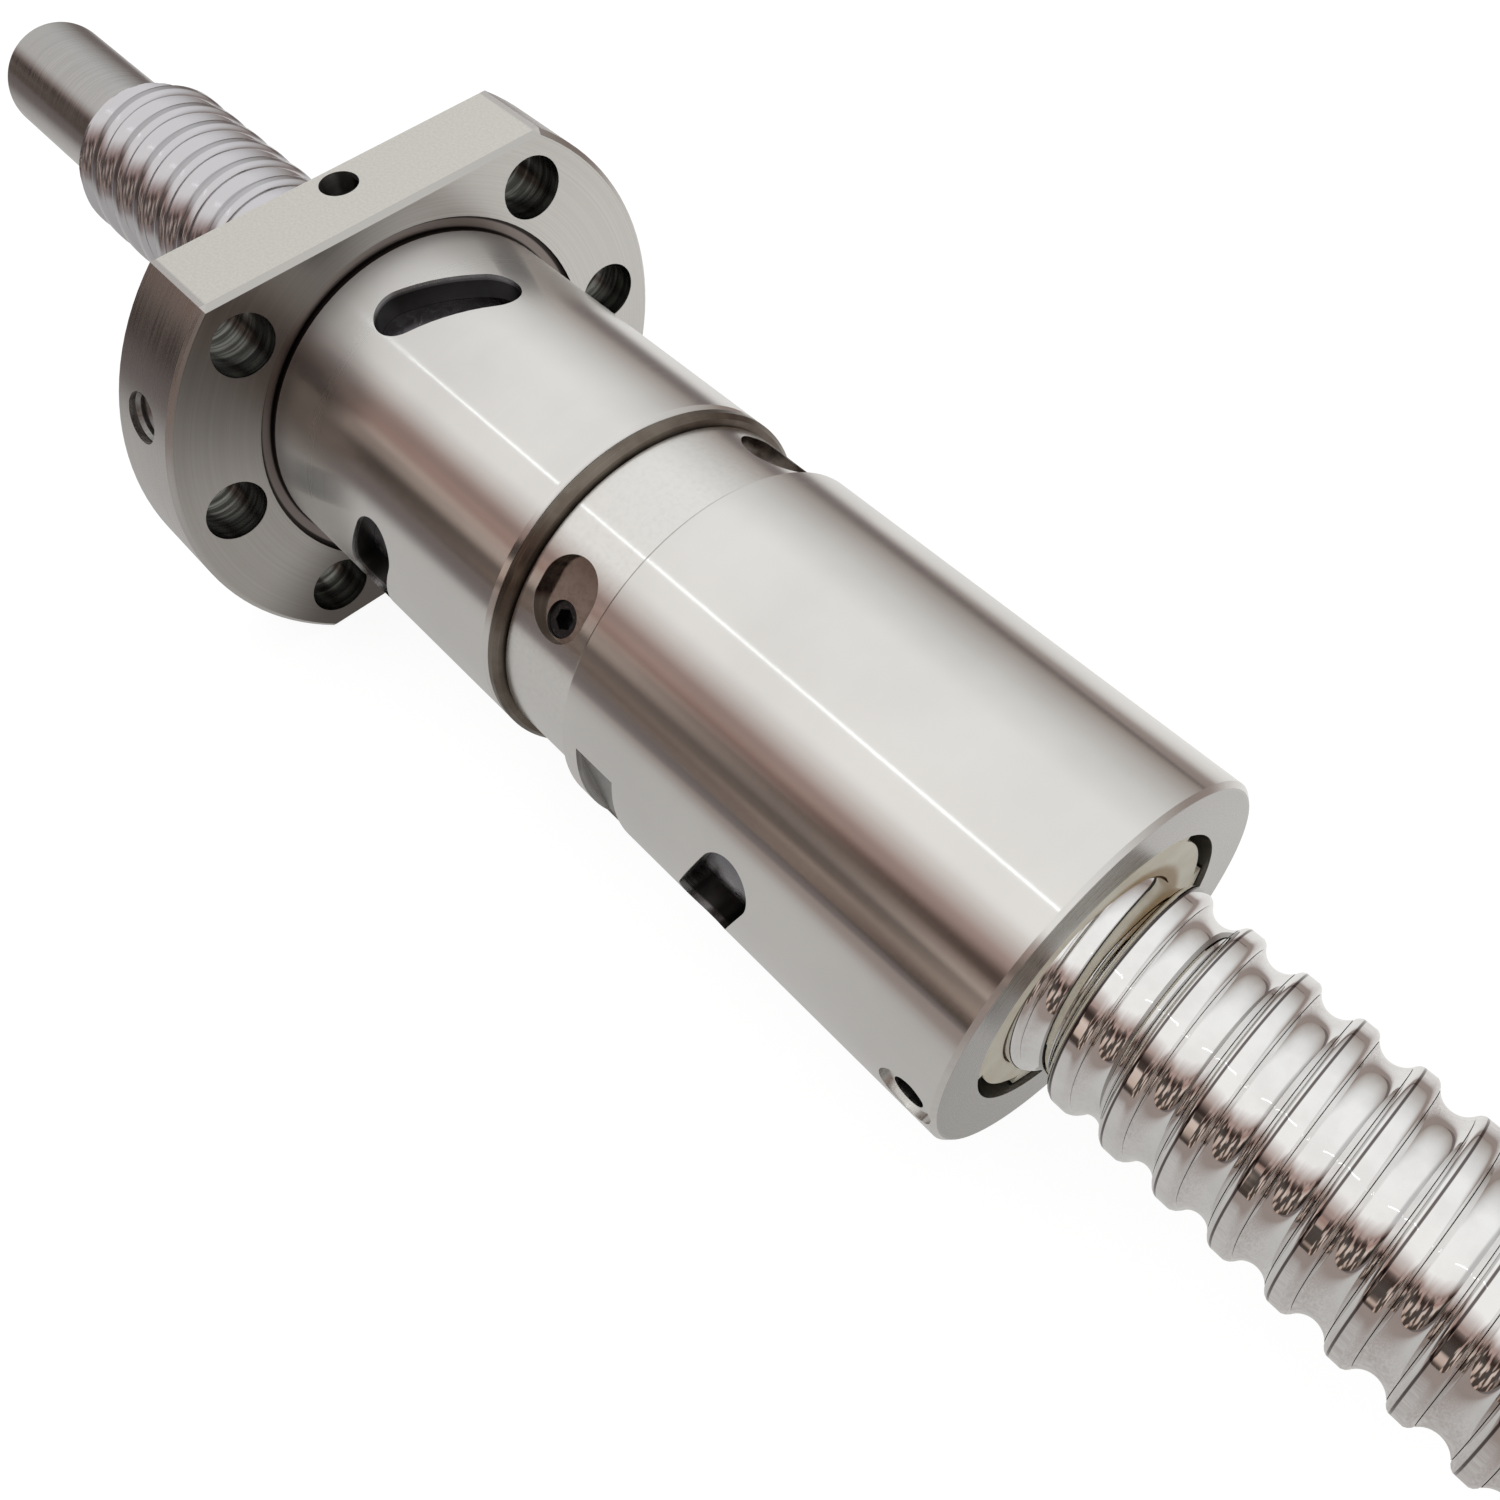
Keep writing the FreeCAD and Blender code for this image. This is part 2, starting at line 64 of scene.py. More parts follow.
# Nut bodies, as on the solids
BODY_R = 18.0
COLLAR_R = 17.0
END_FACE_R = 13.0               # the second nut's end face lies outside this
FLANGE_R = 29.0
FLANGE_BACK_X = -10.0
FLAT_Z = 22.0
RELIEF_R = 19.5
RELIEF_FLOOR_X = -0.7
SHARP_DEG = 28.0
ROUND_DEG = 12.0                # faces that look outwards within this are part of a cylinder
ROUND_MARGIN = 0.03             # corners that lie this near to a cylinder's radius are on it
IMPORTED_NORMALS = "custom_normal"

# How near two corners are one: in a mesh from the frame in metres, in a new one in millimetres
SAME_CORNER_M = 1e-7
SAME_CORNER = 0.002
ON_PLANE = 0.001

# Grease port with its fine thread
PORT_R = 2.5
PORT_X = -5.0
PORT_DEG = 157.5
PORT_TOP_R = 28.6
PORT_THREAD_PITCH = 1.0
PORT_THREAD_TURNS = 8
PORT_THREAD_DEPTH = 0.32
PORT_THREAD_SINK = 0.01         # the ridge starts this deep in the wall
PORT_RIDGE_SHARE = 0.42         # half of the ridge's foot, share of the pitch
PORT_CREST_SHARE = 0.15         # its crest, share of the foot
PORT_STEPS = 40
PORT_SHARP_DEG = 30.0

# Tones, painted shade and tool marks that more than one finish shares
STEEL = (0.79, 0.775, 0.755)
STAINED_STEEL = (0.73, 0.715, 0.70)
# painted shade: near-black tone for the bores and windows, where little light reaches
BORE_SHADE = (0.13, 0.125, 0.12)
GRINDING = 9.0                  # lines per millimetre
STAIN_SCALE = 0.05
SPECK_SCALE = 2.2
MIDDLE_OF_NOISE = (0.3, 0.7)
QUARTER_TURN = 0.25             # as the shader counts turns
LINE_ROUGHNESS = 0.65           # of the noise that tool marks are made from
ALONG_LINES = 0.08              # how slowly a line changes along its length

# Two sectors of the flange's face that lie in shade: direction in turns, full to, none from, depth
SHADED_SECTORS = ((0.35, 0.03, 0.15, 0.62), (-0.33, 0.04, 0.11, 0.8))

# Look of the screw: its rear half is duller and darker with painted shade, and one dark line of
# painted reflection follows its lands
SHADED_DULL_X = -20.0
UNSHADED_POLISHED_X = 30.0
REFLECTION_LINE_X = 2.55                   # the painted reflection line at angle 0
REFLECTION_LINE_FADE = (0.06, 0.13)        # from its middle, where it starts and where it ends to fade
REFLECTION_LINE_STRENGTH = 0.9

# Painted amber shade on the wiper round the thread: full to, none from, depth
AMBER_SHADE_RING = (9.4, 10.3, 0.85)

# Camera, fitted to the photograph
CAMERA_PLACE = (118.44, -52.33, 109.35)
CAMERA_TURN_DEG = (35.208, 2.906, 48.458)
CAMERA_LENS = 37.24
CAMERA_SHIFT = (-0.0036, -0.0019)
CAMERA_SENSOR = 36.0
CAMERA_NEAR = 0.005

# Lamps
STRIP_PLACE = (-550.0, -285.0, 975.0)
STRIP_SIZE = (1.3, 0.011)
STRIP_POWER = 0.075
STRIP_COLOUR = (0.86, 0.94, 1.0)
SOFTBOX_PLACE = (-150.0, -350.0, 1300.0)
SOFTBOX_SIZE = (1.1, 1.1)
SOFTBOX_POWER = 5.0
SOFTBOX_COLOUR = (1.0, 0.99, 0.98)

# Floor. The eye sees it lit up, and the steel mirrors its own tones of it, which hold a painted shadow
# in front of the screw.
FLOOR_SIZE = 8.0
PAPER = ((0.86, 0.86, 0.86), (0.89, 0.89, 0.885))
FLOOR_GLOW = 1.12
GLOW_SHARE = 0.8
MIRRORED_SHARE = 0.85
TABLE_EDGE = (90.0, 200.0)      # from the floor's middle, where the mirrored tone changes
TABLE_EDGE_WANDER = 15
FLOOR_BACK_X = (-70.0, -40.0)
FLOOR_NEAR_Y = (-15.0, 25.0)
FLOOR_NEAR_WITH_SHADOW = ((0.53, 0.52, 0.505), (0.86, 0.85, 0.83))      # in front of the screw with a painted shadow, behind it
FLOOR_FAR = ((0.25, 0.185, 0.16), (0.08, 0.05, 0.045))      # in front, at the journal's end

# Room. The eye sees white, plain surfaces are lit evenly, and the steel mirrors two walls.
ROOM_LEVEL = 0.62
ROOM_COLOUR = (1.0, 0.995, 0.99, 1.0)
WHITE = (1.0, 1.0, 1.0, 1.0)

# Tone of the walls as the steel mirrors them, by height from the horizon (0) to the ceiling (1)
FRONT_WALL = ((0.0, (0.3, 0.22, 0.18)), (0.35, (0.4, 0.33, 0.29)), (0.5, (0.2, 0.13, 0.11)),
              (0.65, (0.4, 0.3, 0.27)), (0.85, (0.95, 0.94, 0.92)))
BACK_WALL = ((0.0, (0.35, 0.3, 0.27)), (0.5, (0.75, 0.75, 0.74)), (0.8, (0.95, 0.95, 0.94)))
WALL_BLEND = 1.5                # how fast the front wall passes into the back wall
WALL_WANDER = 0.1               # how far the bands leave a straight line
ROOM_ROUGHNESS = 0.5            # of the room's two noises
CLOUD = (2.6, 2.0)              # scale and detail of what makes the bands wander
THINGS = (4.5, 0.8)             # and of the dark things that stand along the front wall
THINGS_HEIGHT = (0.5, 0.68)
THINGS_TONE = (0.47, 0.58, -0.8, 0.7)       # noise from and to, change of tone from and to

# Behind the journal the low wall is darker: height, direction and depth. Past it the room dims.
DARK_CORNER_HEIGHT = (0.2, 0.32)
DARK_CORNER = (-0.62, -0.5, 0.65)
DIM_END = (-0.86, -0.70, 0.6, 1.0)


def linked(obj):
    bpy.context.scene.collection.objects.link(obj)
    return obj


def mesh_object(name, bm):
    """Turns a bmesh in millimetres into an object at the origin."""
    bm.transform(Matrix.Scale(MM, 4))
    mesh = bpy.data.meshes.new(name)
    bm.to_mesh(mesh)
    bm.free()
    return linked(bpy.data.objects.new(name, mesh))


def smooth(obj, sharp_deg=SHARP_DEG):
    obj.data.shade_smooth()
    obj.data.set_sharp_from_angle(angle=math.radians(sharp_deg))


# Shader building

class Nodes:
    """A node tree, and the few kinds of node that the finishes and the room are made of."""

    def __init__(self, tree):
        self.tree = tree

    def join(self, value, socket):
        if isinstance(value, bpy.types.NodeSocket):
            self.tree.links.new(value, socket)
        elif socket.type == "RGBA" and not isinstance(value, (int, float)):
            socket.default_value = (*value[:3], 1.0)
        else:
            socket.default_value = value

    def split(self, vector):
        node = self.tree.nodes.new("ShaderNodeSeparateXYZ")
        self.join(vector, node.inputs[0])
        return node.outputs

    def math(self, operation, *values):
        node = self.tree.nodes.new("ShaderNodeMath")
        node.operation = operation
        for value, socket in zip(values, node.inputs):
            self.join(value, socket)
        return node.outputs[0]

    def vector(self, operation, *values, scale=None):
        node = self.tree.nodes.new("ShaderNodeVectorMath")
        node.operation = operation
        for value, socket in zip(values, node.inputs):
            self.join(value, socket)
        if scale is not None:
            self.join(scale, node.inputs["Scale"])
        return node.outputs[0]

    def combine(self, x, y, z):
        node = self.tree.nodes.new("ShaderNodeCombineXYZ")
        for value, socket in zip((x, y, z), node.inputs):
            self.join(value, socket)
        return node.outputs[0]

    def length(self, a, b):
        """Length of the hypotenuse over two numbers."""
        return self.math("SQRT", self.math("ADD", self.math("MULTIPLY", a, a),
                                           self.math("MULTIPLY", b, b)))

    def noise(self, where, scale, detail=3.0, roughness=0.55, distortion=0.0):
        node = self.tree.nodes.new("ShaderNodeTexNoise")
        self.join(where, node.inputs["Vector"])
        for key, value in (("Scale", scale), ("Detail", detail), ("Roughness", roughness),
                           ("Distortion", distortion)):
            self.join(value, node.inputs[key])
        return node.outputs["Fac"]

    def fade(self, value, low, high, to_low=0.0, to_high=1.0):
        """Goes smoothly from to_low to to_high as the value goes from low to high."""
        node = self.tree.nodes.new("ShaderNodeMapRange")
        node.interpolation_type = "SMOOTHSTEP"
        for value, key in ((value, "Value"), (low, "From Min"), (high, "From Max"),
                           (to_low, "To Min"), (to_high, "To Max")):
            self.join(value, node.inputs[key])
        return node.outputs[0]

    def until(self, value, low, high, full=1.0):
        """Stays full up to low and is gone from high on."""
        return self.fade(value, low, high, full, 0.0)

    def spread(self, noise, to_low=0.0, to_high=1.0):
        """Draws the middle values of a noise out from to_low to to_high."""
        return self.fade(noise, *MIDDLE_OF_NOISE, to_low, to_high)

    def all_of(self, *masks):
        total = masks[0]
        for mask in masks[1:]:
            total = self.math("MULTIPLY", total, mask)
        return total

    def mix(self, factor, low, high):
        """Mixes two numbers."""
        node = self.tree.nodes.new("ShaderNodeMix")
        node.data_type = "FLOAT"
        sockets = node.inputs[0], node.inputs[2], node.inputs[3]
        for value, socket in zip((factor, low, high), sockets):
            self.join(value, socket)
        return node.outputs[0]

    def tint(self, factor, low, high):
        """Mixes two colours."""
        node = self.tree.nodes.new("ShaderNodeMix")
        node.data_type = "RGBA"
        sockets = node.inputs[0], node.inputs[6], node.inputs[7]
        for value, socket in zip((factor, low, high), sockets):
            self.join(value, socket)
        return node.outputs[2]


class Finish(Nodes):
    """A material, with the places and tool marks that its finish is laid out by."""

    def __init__(self, name):
        self.material = bpy.data.materials.new(name)
        self.material.use_nodes = True
        super().__init__(self.material.node_tree)
        self.shader = self.tree.nodes["Principled BSDF"]
        place = self.tree.nodes.new("ShaderNodeTexCoord")
        self.place = self.vector("SCALE", place.outputs["Object"], scale=1 / MM)
        self.x, self.y, self.z = self.split(self.place)
        facing = self.split(place.outputs["Normal"])
        self.facing_x = self.math("ABSOLUTE", facing[0])
        self.facing_z = self.math("ABSOLUTE", facing[2])
        self.radius = self.length(self.y, self.z)
        self.turn = self.math("DIVIDE", self.math("ARCTAN2", self.z, self.y), 2 * math.pi)

    def from_turn(self, turn):
        """Distance, in turns, from a direction about the axis."""
        return self.math("ABSOLUTE", self.math("SUBTRACT", self.turn, turn))

    def square_to_axis(self):
        """Faces that look along the axis."""
        return self.fade(self.facing_x, 0.85, 0.95)

    def along_axis(self):
        """Walls that the axis runs along."""
        return self.until(self.facing_x, 0.3, 0.5)

    def bump(self, height, distance, strength=1.0, over=None):
        """Raises the surface by a height from 0 to 1 of a distance in millimetres."""
        node = self.tree.nodes.new("ShaderNodeBump")
        self.join(height, node.inputs["Height"])
        self.join(distance * MM, node.inputs["Distance"])
        self.join(strength, node.inputs["Strength"])
        if over is not None:
            self.join(over, node.inputs["Normal"])
        return node.outputs[0]

    def lines_round(self, per_mm, detail=4.0):
        """Fine lines that run round the axis, as a wheel or a lathe leaves them."""
        where = self.combine(self.math("MULTIPLY", self.x, per_mm),
                             self.math("MULTIPLY", self.y, ALONG_LINES),
                             self.math("MULTIPLY", self.z, ALONG_LINES))
        return self.noise(where, 1.0, detail, LINE_ROUGHNESS)

    def lines_on_face(self, per_mm, detail=4.0):
        """Fine circles on a turned face."""
        where = self.combine(self.math("MULTIPLY", self.radius, per_mm),
                             self.math("MULTIPLY", self.turn, 1.5),
                             self.math("MULTIPLY", self.x, 0.1))
        return self.noise(where, 1.0, detail, LINE_ROUGHNESS)

    def brushed_round(self, amount):
        """Draws the reflections out across lines that run round the axis."""
        round_axis = self.tree.nodes.new("ShaderNodeTangent")
        round_axis.direction_type = "RADIAL"
        round_axis.axis = "X"
        self.join(round_axis.outputs[0], self.shader.inputs["Tangent"])
        self.join(amount, self.shader.inputs["Anisotropic"])
        self.join(QUARTER_TURN, self.shader.inputs["Anisotropic Rotation"])

    def wear(self, colour, roughness, normal=None, metallic=1.0):
        self.join(colour, self.shader.inputs["Base Color"])
        self.join(roughness, self.shader.inputs["Roughness"])
        self.shader.inputs["Metallic"].default_value = metallic
        if normal is not None:
            self.join(normal, self.shader.inputs["Normal"])
        return self.material


# Finishes

def ground_steel():
    """Outside of the second nut: ground round its axis, with a soft stain here and there, and painted
    shade in its bore.
    """
    f = Finish("ground_steel")
    lines, circles = f.lines_round(GRINDING), f.lines_on_face(7.0)
    stain = f.noise(f.place, STAIN_SCALE, 4.0)
    speck = f.noise(f.place, SPECK_SCALE, 5.0, 0.75)
    inner = f.until(f.radius, BODY_R - 0.7, BODY_R - 0.45)
    end_face = f.math("MULTIPLY", f.square_to_axis(),
                      f.fade(f.radius, END_FACE_R - 0.1, END_FACE_R + 0.1))

    colour = f.tint(f.fade(stain, 0.35, 0.7), STEEL, [c * 0.93 for c in STEEL])
    colour = f.tint(f.fade(speck, 0.62, 0.8, 0.0, 0.3), colour, [c * 0.75 for c in STEEL])
    # painted shade in the bore and windows
    colour = f.tint(inner, colour, BORE_SHADE)
    turned = f.tint(f.spread(circles), (0.44, 0.43, 0.42), (0.54, 0.53, 0.52))
    colour = f.tint(end_face, colour, turned)

    rough = f.math("ADD", f.spread(lines, 0.135, 0.165), f.fade(stain, 0.4, 0.7, 0.0, 0.02))
    rough = f.mix(inner, rough, 0.3)
    rough = f.mix(end_face, rough, f.spread(circles, 0.22, 0.34))
    f.brushed_round(f.mix(inner, 1.0, 0.3))
    normal = f.bump(f.mix(end_face, lines, circles), 0.004, 0.2)
    normal = f.bump(speck, 0.006, 0.1, over=normal)
    return f.wear(colour, rough, normal)


class FlangedNutAreas:
    """Where each finish of the flanged nut lies, and where shade is painted on it, as masks from 0 to
    1.
    """

    def __init__(self, f):
        height_z = f.math("ABSOLUTE", f.z)
        behind = f.until(f.x, -0.08, -0.02)
        back = f.fade(f.x, FLANGE_BACK_X + 0.02, FLANGE_BACK_X + 0.07, 1.0, 0.0)
        self.body = f.all_of(f.fade(f.x, -0.02, 0.05),
                             f.fade(f.radius, BODY_R - 0.5, BODY_R - 0.3),
                             f.until(f.radius, BODY_R + 0.4, BODY_R + 0.6))
        self.face = f.math("MULTIPLY", f.square_to_axis(),
                           f.math("MAXIMUM", back, f.fade(f.radius, BODY_R - 0.1, BODY_R + 0.1)))
        self.flat = f.all_of(f.fade(f.facing_z, 0.93, 0.98), behind,
                             f.fade(height_z, FLAT_Z - 0.6, FLAT_Z - 0.5))
        self.rim = f.math("MULTIPLY", behind, f.fade(f.radius, FLANGE_R - 0.5, FLANGE_R - 0.3))
        self.hole = f.all_of(behind, f.along_axis(),
                             f.fade(f.radius, RELIEF_R + 0.15, RELIEF_R + 0.3),
                             f.until(f.radius, FLANGE_R - 0.8, FLANGE_R - 0.5),
                             f.until(height_z, FLAT_Z - 0.8, FLAT_Z - 0.6))
        self.relief = f.all_of(f.until(f.x, -0.05, -0.01),
                               f.fade(f.x, RELIEF_FLOOR_X - 0.05, RELIEF_FLOOR_X),
                               f.fade(f.radius, BODY_R - 0.2, BODY_R - 0.1),
                               f.until(f.radius, RELIEF_R + 0.05, RELIEF_R + 0.15))
        # painted shade: the relief groove's edges and walls go near black
        relief_edges = f.math("MAXIMUM", f.fade(f.radius, RELIEF_R - 0.55, RELIEF_R - 0.35),
                              f.until(f.radius, BODY_R + 0.1, BODY_R + 0.3))
        relief_wall = f.math("MULTIPLY", self.relief, f.along_axis())
        self.relief_shade = f.math("MULTIPLY", self.relief,
                                  f.math("MAXIMUM", relief_edges, relief_wall))
        self.inner = f.math("MULTIPLY", f.until(f.radius, BODY_R - 0.7, BODY_R - 0.55),
                            f.math("SUBTRACT", 1.0, back))
        self.in_shade = f.math("MAXIMUM", *[f.until(f.from_turn(turn), full_to, none_from, depth)
                                            for turn, full_to, none_from, depth in SHADED_SECTORS])


def flanged_steel():
    """The flanged nut: ground body, turned flange faces, milled flats and drilled holes, with painted
    shade in its bore, holes and relief groove and on parts of its face.
    """
    f = Finish("flanged_steel")
    on = FlangedNutAreas(f)
    lines, circles = f.lines_round(GRINDING), f.lines_on_face(5.0)
    grain = f.noise(f.place, 3.5, 4.0, 0.7)
    stain = f.noise(f.place, STAIN_SCALE, 4.0)
    speck = f.noise(f.place, SPECK_SCALE, 5.0, 0.75)

    turned = f.tint(f.spread(circles), (0.60, 0.585, 0.56), (0.70, 0.685, 0.66))
    turned = f.tint(on.in_shade, turned, (0.0, 0.0, 0.0))
    # painted shade, brown, on the -Y side of the flange's face
    turned = f.tint(f.until(f.y, -12.0, 14.0, 0.3), turned, (0.20, 0.15, 0.12))
    drill_marks = f.fade(f.lines_round(1.6), 0.4, 0.65)
    # painted shade in the bore and windows
    colour = f.tint(on.inner, (0.52, 0.505, 0.485), BORE_SHADE)
    for area, tone in (
            (on.body, f.tint(f.fade(stain, 0.35, 0.7), STEEL, STAINED_STEEL)),
            (on.face, turned),
            (on.flat, f.tint(f.fade(grain, 0.35, 0.65), (0.70, 0.685, 0.64), (0.78, 0.765, 0.72))),
            (on.rim, (0.55, 0.525, 0.51)),
            # painted shade: the bolt holes' walls are near black, with lighter drill marks
            (on.hole, f.tint(drill_marks, (0.045, 0.045, 0.04), (0.2, 0.2, 0.185))),
            (on.relief, (0.25, 0.215, 0.20)),
            # painted shade in the relief groove
            (on.relief_shade, (0.035, 0.03, 0.028))):
        colour = f.tint(area, colour, tone)

    rough = 0.32
    for area, value in (
            (on.body, f.math("ADD", f.spread(lines, 0.13, 0.16), f.until(f.x, 1.0, 17.0, 0.17))),
            (on.face, f.spread(circles, 0.3, 0.4)),
            (on.flat, f.spread(grain, 0.42, 0.52)),
            (on.rim, f.spread(lines, 0.2, 0.3)),
            (on.hole, 0.25),
            (on.relief, 0.3)):
        rough = f.mix(area, rough, value)

    f.brushed_round(f.math("MAXIMUM", on.body, f.math("MULTIPLY", on.face, 0.6)))
    height = f.mix(on.flat, f.mix(on.face, lines, circles), grain)
    normal = f.bump(height, 0.005, 0.25)
    normal = f.bump(speck, 0.006, 0.1, over=normal)
    return f.wear(colour, rough, normal)


def collar_steel():
    """Spacer collar: fine ground, with milled pockets that have painted shade on their walls."""
    f = Finish("collar_steel")
    lines = f.lines_round(GRINDING)
    speck = f.noise(f.place, 2.0, 4.0, 0.7)
    mill = f.noise(f.place, 1.3, 3.0, 0.6, 1.2)
    pocket = f.until(f.radius, COLLAR_R - 0.12, COLLAR_R - 0.04)
    pocket_wall_shade = f.fade(f.radius, COLLAR_R - 2.2, COLLAR_R - 0.5)
    colour = f.tint(f.fade(speck, 0.4, 0.75), STEEL, (0.75, 0.735, 0.715))
    # painted shade in each pocket, darkest towards its rim
    colour = f.tint(pocket, colour, f.tint(pocket_wall_shade, (0.56, 0.53, 0.51), (0.20, 0.17, 0.15)))
    rough = f.mix(pocket, f.spread(lines, 0.14, 0.17), f.spread(mill, 0.12, 0.24))
    f.brushed_round(f.mix(pocket, 1.0, 0.0))
    normal = f.bump(f.mix(pocket, lines, mill), 0.006, 0.2)
    return f.wear(colour, rough, normal)


def shim_steel():
    """Preload shim: dark, with a bronze cast."""
    f = Finish("shim_steel")
    lines = f.lines_round(6.0)
    cloud = f.noise(f.place, 0.25, 3.0)
    colour = f.tint(f.spread(cloud), (0.13, 0.105, 0.085), (0.21, 0.18, 0.15))
    f.brushed_round(0.9)
    return f.wear(colour, f.spread(lines, 0.24, 0.36), f.bump(lines, 0.006, 0.3))


def thread_steel():
    """Screw: polished grooves, and lands with one fine dark line of painted reflection along them; the
    rear half is darker with painted shade.
    """
    f = Finish("thread_steel")
    phase = f.math("SUBTRACT", f.math("DIVIDE", f.math("SUBTRACT", f.x, REFLECTION_LINE_X), LEAD), f.turn)
    in_lead = f.math("SUBTRACT", f.math("FRACT", f.math("ADD", phase, 0.5)), 0.5)
    from_reflection_line = f.math("MULTIPLY", f.math("ABSOLUTE", in_lead), LEAD)
    on_thread = f.fade(f.radius, JOURNAL_R + 0.3, JOURNAL_R + 0.6)
    unshaded = f.fade(f.x, SHADED_DULL_X, UNSHADED_POLISHED_X)
    # painted reflection: a dark line near the middle of each land
    line = f.all_of(f.until(from_reflection_line, *REFLECTION_LINE_FADE), on_thread, unshaded)
    flow = f.combine(f.math("MULTIPLY", from_reflection_line, 3.0), f.math("MULTIPLY", f.turn, 8.0),
                     f.math("MULTIPLY", f.x, 0.05))
    polish = f.noise(flow, 1.0, 3.0, 0.6)
    smear = f.noise(f.place, 0.4, 3.0)
    lines = f.lines_round(GRINDING)

    colour = f.tint(f.fade(smear, 0.35, 0.7), (0.88, 0.875, 0.87), (0.82, 0.81, 0.805))
    # painted shade: the rear half of the screw is darker and bluer
    colour = f.tint(unshaded, (0.62, 0.605, 0.63), colour)
    # painted reflection line
    colour = f.tint(f.math("MULTIPLY", line, REFLECTION_LINE_STRENGTH), colour, (0.07, 0.05, 0.05))
    journal_tone = f.tint(f.spread(lines), (0.6, 0.58, 0.57), (0.68, 0.665, 0.65))
    colour = f.tint(on_thread, journal_tone, colour)

    polished = f.math("ADD", f.spread(polish, 0.03, 0.07), f.until(f.x, SHADED_DULL_X, UNSHADED_POLISHED_X, 0.12))
    rough = f.mix(on_thread, f.spread(lines, 0.16, 0.24), polished)
    normal = f.bump(f.mix(on_thread, lines, polish), 0.004, f.mix(on_thread, 0.15, 0.03))
    return f.wear(colour, rough, normal)


def insert_steel():
    """Return insert in its window: milled and dark."""
    f = Finish("insert_steel")
    mill = f.noise(f.place, 1.0, 2.5, 0.6, 0.8)
    colour = f.tint(f.spread(mill), (0.13, 0.125, 0.14), (0.2, 0.195, 0.215))
    return f.wear(colour, f.spread(mill, 0.18, 0.3), f.bump(mill, 0.02, 0.25))


def key_steel():
    """Key: sawn and filed."""
    f = Finish("key_steel")
    grain = f.noise(f.place, 3.0, 5.0, 0.75)
    colour = f.tint(f.spread(grain), (0.22, 0.215, 0.21), (0.42, 0.41, 0.40))
    return f.wear(colour, f.spread(grain, 0.3, 0.5), f.bump(grain, 0.03, 0.5))


def ball_steel():
    """Ball: polished."""
    f = Finish("ball_steel")
    smear = f.noise(f.place, 0.9, 2.0)
    colour = f.tint(f.spread(smear), (0.82, 0.82, 0.82), (0.74, 0.74, 0.75))
    return f.wear(colour, f.spread(smear, 0.03, 0.07), f.bump(smear, 0.002, 0.1))


def blackened_steel():
    """Set screws: black oxide, worn in places."""
    f = Finish("blackened_steel")
    grain = f.noise(f.place, 4.0, 4.0, 0.7)
    colour = f.tint(f.fade(grain, 0.5, 0.75), (0.05, 0.05, 0.055), (0.16, 0.155, 0.15))
    return f.wear(colour, f.spread(grain, 0.3, 0.45), f.bump(grain, 0.01, 0.4))


def wiper_plastic():
    """Wiper: cream plastic with painted amber shade round the thread."""
    f = Finish("wiper_plastic")
    cloud = f.noise(f.place, 0.35, 3.0)
    fine = f.noise(f.place, 5.0, 3.0)
    colour = f.tint(f.spread(cloud), (0.78, 0.74, 0.62), (0.70, 0.65, 0.52))
    # painted shade, amber, round the thread
    colour = f.tint(f.until(f.radius, *AMBER_SHADE_RING), colour, (0.36, 0.22, 0.075))
    f.shader.inputs["Subsurface Weight"].default_value = 0.12
    f.shader.inputs["Subsurface Radius"].default_value = (0.0012, 0.0008, 0.0004)
    return f.wear(colour, f.spread(fine, 0.36, 0.5), f.bump(fine, 0.01, 0.25), metallic=0.0)


# Pieces

def pitch_profile():
    """One lead of the thread's outline as (x, radius), from the bottom of a groove to the next."""
    centre_r = SCREW_R - LAND_EDGE_R + LAND_EDGE_PROUD
    drop = PITCH_R - centre_r
    reach = GROOVE_R + LAND_EDGE_R
    half = math.sqrt(reach ** 2 - drop ** 2)
    touch = math.atan2(half, drop)
    points = []
    for i in range(GROOVE_STEPS):
        a = touch * i / GROOVE_STEPS
        points.append((GROOVE_R * math.sin(a), PITCH_R - GROOVE_R * math.cos(a)))
    low = touch - math.pi
    high = math.acos((SCREW_R - centre_r) / LAND_EDGE_R)
    for i in range(EDGE_STEPS + 1):
        a = low + (-high - low) * i / EDGE_STEPS
        points.append((half + LAND_EDGE_R * math.sin(a), centre_r + LAND_EDGE_R * math.cos(a)))
    rest = LEAD / 2 - points[-1][0]
    points += [(points[-1][0] + rest * i / LAND_STEPS, SCREW_R) for i in range(1, LAND_STEPS + 1)]
    return points + [(LEAD - x, r) for x, r in reversed(points[:-1])]


def close_end(bm, end_x):
    """Puts a face into the open edge that lies at a place along the axis."""
    rim = [e for e in bm.edges
           if e.is_boundary and all(abs(v.co.x - end_x) < ON_PLANE for v in e.verts)]
    bmesh.ops.contextual_create(bm, geom=rim)


def chamfered_ends(bm):
    """Cuts the thread to length and takes its ends down to their chamfers."""
    for end_x, out in ((THREAD_BACK_X, -1), (THREAD_FRONT_X, 1)):
        for plane_x in (end_x - out * THREAD_CHAMFER, end_x):
            geom = bm.verts[:] + bm.edges[:] + bm.faces[:]
            bmesh.ops.bisect_plane(bm, geom=geom, plane_co=(plane_x, 0, 0), plane_no=(out, 0, 0),
                                   clear_outer=plane_x == end_x)
        for v in bm.verts:
            limit = SCREW_R - THREAD_CHAMFER + (end_x - v.co.x) * out
            radius = math.hypot(v.co.y, v.co.z)
            if radius > limit:
                v.co.yz = v.co.yz * (limit / radius)
        close_end(bm, end_x)


